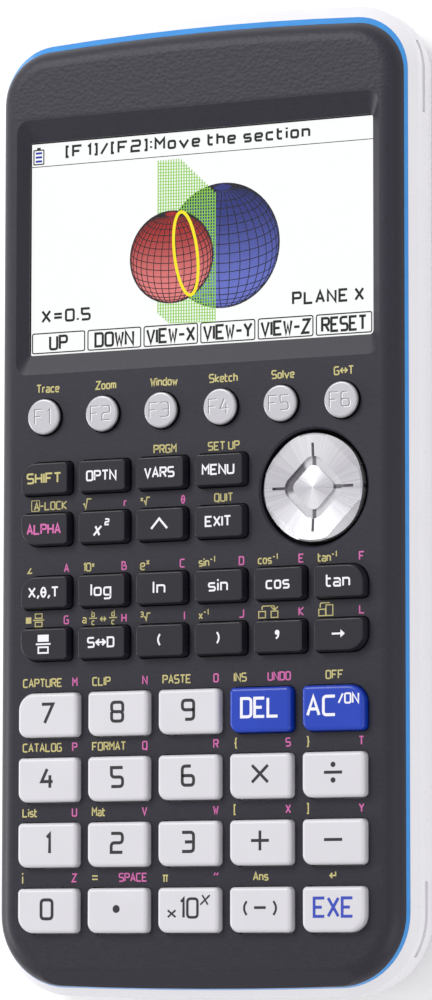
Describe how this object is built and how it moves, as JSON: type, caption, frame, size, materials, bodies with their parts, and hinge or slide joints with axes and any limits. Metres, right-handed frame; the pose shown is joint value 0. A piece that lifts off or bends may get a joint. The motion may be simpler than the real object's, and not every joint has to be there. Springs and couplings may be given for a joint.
{
  "type": "graphing calculator",
  "caption": "Graphing calculator with a recessed colour display, round function keys, a four-way cursor disc, press keys, a two-part shell and a hinged battery cover.",
  "frame": {"origin": "centre of the footprint on the flat rest face of the back", "axes": "+X across the width to the right of the display, +Y to the display end, +Z out of the key face"},
  "size_m": [0.089, 0.1884, 0.0186],
  "materials": {
    "black_cover": "satin, fine horizontal grain, pebbled head panel",
    "clear_window": "clear acrylic",
    "lcd_glass": "display module",
    "blue_band": "translucent",
    "white_shell": "smooth",
    "cell_can": "printed sleeve on steel can",
    "spring_steel": "nickel plated",
    "circuit_board": "solder mask on glass epoxy",
    "mat_rubber": "silicone",
    "screw_steel": "zinc plated",
    "button_plastic": "moulded",
    "metallised": "metallised, radially brushed look",
    "pivot_plastic": "acetal",
    "dark_key": "smooth",
    "white_key": "smooth",
    "blue_key": "smooth"
  },
  "bodies": {
    "case": {"front_case": "black_cover", "display_window": "clear_window", "lcd_panel": "lcd_glass", "trim_band": "blue_band", "rear_case": "white_shell", "batteries": "cell_can", "battery_contacts": "spring_steel", "main_board": "circuit_board", "keypad_mat": "mat_rubber", "case_screws": "screw_steel"},
    "battery_cover": {"battery_cover": "white_shell"},
    "reset_button": {"reset_button": "button_plastic"},
    "cursor_pivot": {"cursor_pivot": "pivot_plastic"},
    "cursor_disc": {"cursor_disc": "metallised"},
    "key_7": {"key_7": "white_key"},
    "key_8": {"key_8": "white_key"},
    "key_9": {"key_9": "white_key"},
    "key_4": {"key_4": "white_key"},
    "key_5": {"key_5": "white_key"},
    "key_6": {"key_6": "white_key"},
    "key_times": {"key_times": "white_key"},
    "key_divide": {"key_divide": "white_key"},
    "key_1": {"key_1": "white_key"},
    "key_2": {"key_2": "white_key"},
    "key_3": {"key_3": "white_key"},
    "key_plus": {"key_plus": "white_key"},
    "key_minus": {"key_minus": "white_key"},
    "key_0": {"key_0": "white_key"},
    "key_point": {"key_point": "white_key"},
    "key_exponent": {"key_exponent": "white_key"},
    "key_negative": {"key_negative": "white_key"},
    "key_execute": {"key_execute": "white_key"},
    "key_delete": {"key_delete": "blue_key"},
    "key_clear": {"key_clear": "blue_key"},
    "key_shift": {"key_shift": "dark_key"},
    "key_optn": {"key_optn": "dark_key"},
    "key_vars": {"key_vars": "dark_key"},
    "key_menu": {"key_menu": "dark_key"},
    "key_alpha": {"key_alpha": "dark_key"},
    "key_square": {"key_square": "dark_key"},
    "key_power": {"key_power": "dark_key"},
    "key_exit": {"key_exit": "dark_key"},
    "key_variable": {"key_variable": "dark_key"},
    "key_log": {"key_log": "dark_key"},
    "key_ln": {"key_ln": "dark_key"},
    "key_sin": {"key_sin": "dark_key"},
    "key_cos": {"key_cos": "dark_key"},
    "key_tan": {"key_tan": "dark_key"},
    "key_fraction": {"key_fraction": "dark_key"},
    "key_convert": {"key_convert": "dark_key"},
    "key_paren_open": {"key_paren_open": "dark_key"},
    "key_paren_close": {"key_paren_close": "dark_key"},
    "key_comma": {"key_comma": "dark_key"},
    "key_arrow": {"key_arrow": "dark_key"},
    "key_f1": {"key_f1": "metallised"},
    "key_f2": {"key_f2": "metallised"},
    "key_f3": {"key_f3": "metallised"},
    "key_f4": {"key_f4": "metallised"},
    "key_f5": {"key_f5": "metallised"},
    "key_f6": {"key_f6": "metallised"}
  },
  "joints": [
    {"name": "battery_cover_hinge", "type": "hinge", "parent": "case", "child": "battery_cover", "pos_m": [0, 0.0242, 0], "axis": [-1, 0, 0], "range_deg": [0, 60]},
    {"name": "reset_press", "type": "slide", "parent": "case", "child": "reset_button", "axis": [0, 0, 1], "range_m": [0, 0.0004], "stiffness_N_per_m": 800, "springref_m": -0.0004},
    {"name": "cursor_tilt_x", "type": "hinge", "parent": "case", "child": "cursor_pivot", "pos_m": [0.0251, 0.00135, 0.0127], "axis": [1, 0, 0], "range_deg": [-3.5, 3.5], "stiffness_Nm_per_rad": 0.13},
    {"name": "cursor_tilt_y", "type": "hinge", "parent": "cursor_pivot", "child": "cursor_disc", "pos_m": [0.0251, 0.00135, 0.0127], "axis": [0, 1, 0], "range_deg": [-3.5, 3.5], "stiffness_Nm_per_rad": 0.13},
    {"name": "key_7_press", "type": "slide", "parent": "case", "child": "key_7", "axis": [0, 0, -1], "range_m": [0, 0.0012], "stiffness_N_per_m": 600, "springref_m": -0.0005},
    {"name": "key_8_press", "type": "slide", "parent": "case", "child": "key_8", "axis": [0, 0, -1], "range_m": [0, 0.0012], "stiffness_N_per_m": 600, "springref_m": -0.0005},
    {"name": "key_9_press", "type": "slide", "parent": "case", "child": "key_9", "axis": [0, 0, -1], "range_m": [0, 0.0012], "stiffness_N_per_m": 600, "springref_m": -0.0005},
    {"name": "key_4_press", "type": "slide", "parent": "case", "child": "key_4", "axis": [0, 0, -1], "range_m": [0, 0.0012], "stiffness_N_per_m": 600, "springref_m": -0.0005},
    {"name": "key_5_press", "type": "slide", "parent": "case", "child": "key_5", "axis": [0, 0, -1], "range_m": [0, 0.0012], "stiffness_N_per_m": 600, "springref_m": -0.0005},
    {"name": "key_6_press", "type": "slide", "parent": "case", "child": "key_6", "axis": [0, 0, -1], "range_m": [0, 0.0012], "stiffness_N_per_m": 600, "springref_m": -0.0005},
    {"name": "key_times_press", "type": "slide", "parent": "case", "child": "key_times", "axis": [0, 0, -1], "range_m": [0, 0.0012], "stiffness_N_per_m": 600, "springref_m": -0.0005},
    {"name": "key_divide_press", "type": "slide", "parent": "case", "child": "key_divide", "axis": [0, 0, -1], "range_m": [0, 0.0012], "stiffness_N_per_m": 600, "springref_m": -0.0005},
    {"name": "key_1_press", "type": "slide", "parent": "case", "child": "key_1", "axis": [0, 0, -1], "range_m": [0, 0.0012], "stiffness_N_per_m": 600, "springref_m": -0.0005},
    {"name": "key_2_press", "type": "slide", "parent": "case", "child": "key_2", "axis": [0, 0, -1], "range_m": [0, 0.0012], "stiffness_N_per_m": 600, "springref_m": -0.0005},
    {"name": "key_3_press", "type": "slide", "parent": "case", "child": "key_3", "axis": [0, 0, -1], "range_m": [0, 0.0012], "stiffness_N_per_m": 600, "springref_m": -0.0005},
    {"name": "key_plus_press", "type": "slide", "parent": "case", "child": "key_plus", "axis": [0, 0, -1], "range_m": [0, 0.0012], "stiffness_N_per_m": 600, "springref_m": -0.0005},
    {"name": "key_minus_press", "type": "slide", "parent": "case", "child": "key_minus", "axis": [0, 0, -1], "range_m": [0, 0.0012], "stiffness_N_per_m": 600, "springref_m": -0.0005},
    {"name": "key_0_press", "type": "slide", "parent": "case", "child": "key_0", "axis": [0, 0, -1], "range_m": [0, 0.0012], "stiffness_N_per_m": 600, "springref_m": -0.0005},
    {"name": "key_point_press", "type": "slide", "parent": "case", "child": "key_point", "axis": [0, 0, -1], "range_m": [0, 0.0012], "stiffness_N_per_m": 600, "springref_m": -0.0005},
    {"name": "key_exponent_press", "type": "slide", "parent": "case", "child": "key_exponent", "axis": [0, 0, -1], "range_m": [0, 0.0012], "stiffness_N_per_m": 600, "springref_m": -0.0005},
    {"name": "key_negative_press", "type": "slide", "parent": "case", "child": "key_negative", "axis": [0, 0, -1], "range_m": [0, 0.0012], "stiffness_N_per_m": 600, "springref_m": -0.0005},
    {"name": "key_execute_press", "type": "slide", "parent": "case", "child": "key_execute", "axis": [0, 0, -1], "range_m": [0, 0.0012], "stiffness_N_per_m": 600, "springref_m": -0.0005},
    {"name": "key_delete_press", "type": "slide", "parent": "case", "child": "key_delete", "axis": [0, 0, -1], "range_m": [0, 0.0012], "stiffness_N_per_m": 600, "springref_m": -0.0005},
    {"name": "key_clear_press", "type": "slide", "parent": "case", "child": "key_clear", "axis": [0, 0, -1], "range_m": [0, 0.0012], "stiffness_N_per_m": 600, "springref_m": -0.0005},
    {"name": "key_shift_press", "type": "slide", "parent": "case", "child": "key_shift", "axis": [0, 0, -1], "range_m": [0, 0.0012], "stiffness_N_per_m": 600, "springref_m": -0.0005},
    {"name": "key_optn_press", "type": "slide", "parent": "case", "child": "key_optn", "axis": [0, 0, -1], "range_m": [0, 0.0012], "stiffness_N_per_m": 600, "springref_m": -0.0005},
    {"name": "key_vars_press", "type": "slide", "parent": "case", "child": "key_vars", "axis": [0, 0, -1], "range_m": [0, 0.0012], "stiffness_N_per_m": 600, "springref_m": -0.0005},
    {"name": "key_menu_press", "type": "slide", "parent": "case", "child": "key_menu", "axis": [0, 0, -1], "range_m": [0, 0.0012], "stiffness_N_per_m": 600, "springref_m": -0.0005},
    {"name": "key_alpha_press", "type": "slide", "parent": "case", "child": "key_alpha", "axis": [0, 0, -1], "range_m": [0, 0.0012], "stiffness_N_per_m": 600, "springref_m": -0.0005},
    {"name": "key_square_press", "type": "slide", "parent": "case", "child": "key_square", "axis": [0, 0, -1], "range_m": [0, 0.0012], "stiffness_N_per_m": 600, "springref_m": -0.0005},
    {"name": "key_power_press", "type": "slide", "parent": "case", "child": "key_power", "axis": [0, 0, -1], "range_m": [0, 0.0012], "stiffness_N_per_m": 600, "springref_m": -0.0005},
    {"name": "key_exit_press", "type": "slide", "parent": "case", "child": "key_exit", "axis": [0, 0, -1], "range_m": [0, 0.0012], "stiffness_N_per_m": 600, "springref_m": -0.0005},
    {"name": "key_variable_press", "type": "slide", "parent": "case", "child": "key_variable", "axis": [0, 0, -1], "range_m": [0, 0.0012], "stiffness_N_per_m": 600, "springref_m": -0.0005},
    {"name": "key_log_press", "type": "slide", "parent": "case", "child": "key_log", "axis": [0, 0, -1], "range_m": [0, 0.0012], "stiffness_N_per_m": 600, "springref_m": -0.0005},
    {"name": "key_ln_press", "type": "slide", "parent": "case", "child": "key_ln", "axis": [0, 0, -1], "range_m": [0, 0.0012], "stiffness_N_per_m": 600, "springref_m": -0.0005},
    {"name": "key_sin_press", "type": "slide", "parent": "case", "child": "key_sin", "axis": [0, 0, -1], "range_m": [0, 0.0012], "stiffness_N_per_m": 600, "springref_m": -0.0005},
    {"name": "key_cos_press", "type": "slide", "parent": "case", "child": "key_cos", "axis": [0, 0, -1], "range_m": [0, 0.0012], "stiffness_N_per_m": 600, "springref_m": -0.0005},
    {"name": "key_tan_press", "type": "slide", "parent": "case", "child": "key_tan", "axis": [0, 0, -1], "range_m": [0, 0.0012], "stiffness_N_per_m": 600, "springref_m": -0.0005},
    {"name": "key_fraction_press", "type": "slide", "parent": "case", "child": "key_fraction", "axis": [0, 0, -1], "range_m": [0, 0.0012], "stiffness_N_per_m": 600, "springref_m": -0.0005},
    {"name": "key_convert_press", "type": "slide", "parent": "case", "child": "key_convert", "axis": [0, 0, -1], "range_m": [0, 0.0012], "stiffness_N_per_m": 600, "springref_m": -0.0005},
    {"name": "key_paren_open_press", "type": "slide", "parent": "case", "child": "key_paren_open", "axis": [0, 0, -1], "range_m": [0, 0.0012], "stiffness_N_per_m": 600, "springref_m": -0.0005},
    {"name": "key_paren_close_press", "type": "slide", "parent": "case", "child": "key_paren_close", "axis": [0, 0, -1], "range_m": [0, 0.0012], "stiffness_N_per_m": 600, "springref_m": -0.0005},
    {"name": "key_comma_press", "type": "slide", "parent": "case", "child": "key_comma", "axis": [0, 0, -1], "range_m": [0, 0.0012], "stiffness_N_per_m": 600, "springref_m": -0.0005},
    {"name": "key_arrow_press", "type": "slide", "parent": "case", "child": "key_arrow", "axis": [0, 0, -1], "range_m": [0, 0.0012], "stiffness_N_per_m": 600, "springref_m": -0.0005},
    {"name": "key_f1_press", "type": "slide", "parent": "case", "child": "key_f1", "axis": [0, 0, -1], "range_m": [0, 0.0012], "stiffness_N_per_m": 600, "springref_m": -0.0005},
    {"name": "key_f2_press", "type": "slide", "parent": "case", "child": "key_f2", "axis": [0, 0, -1], "range_m": [0, 0.0012], "stiffness_N_per_m": 600, "springref_m": -0.0005},
    {"name": "key_f3_press", "type": "slide", "parent": "case", "child": "key_f3", "axis": [0, 0, -1], "range_m": [0, 0.0012], "stiffness_N_per_m": 600, "springref_m": -0.0005},
    {"name": "key_f4_press", "type": "slide", "parent": "case", "child": "key_f4", "axis": [0, 0, -1], "range_m": [0, 0.0012], "stiffness_N_per_m": 600, "springref_m": -0.0005},
    {"name": "key_f5_press", "type": "slide", "parent": "case", "child": "key_f5", "axis": [0, 0, -1], "range_m": [0, 0.0012], "stiffness_N_per_m": 600, "springref_m": -0.0005},
    {"name": "key_f6_press", "type": "slide", "parent": "case", "child": "key_f6", "axis": [0, 0, -1], "range_m": [0, 0.0012], "stiffness_N_per_m": 600, "springref_m": -0.0005}
  ]
}
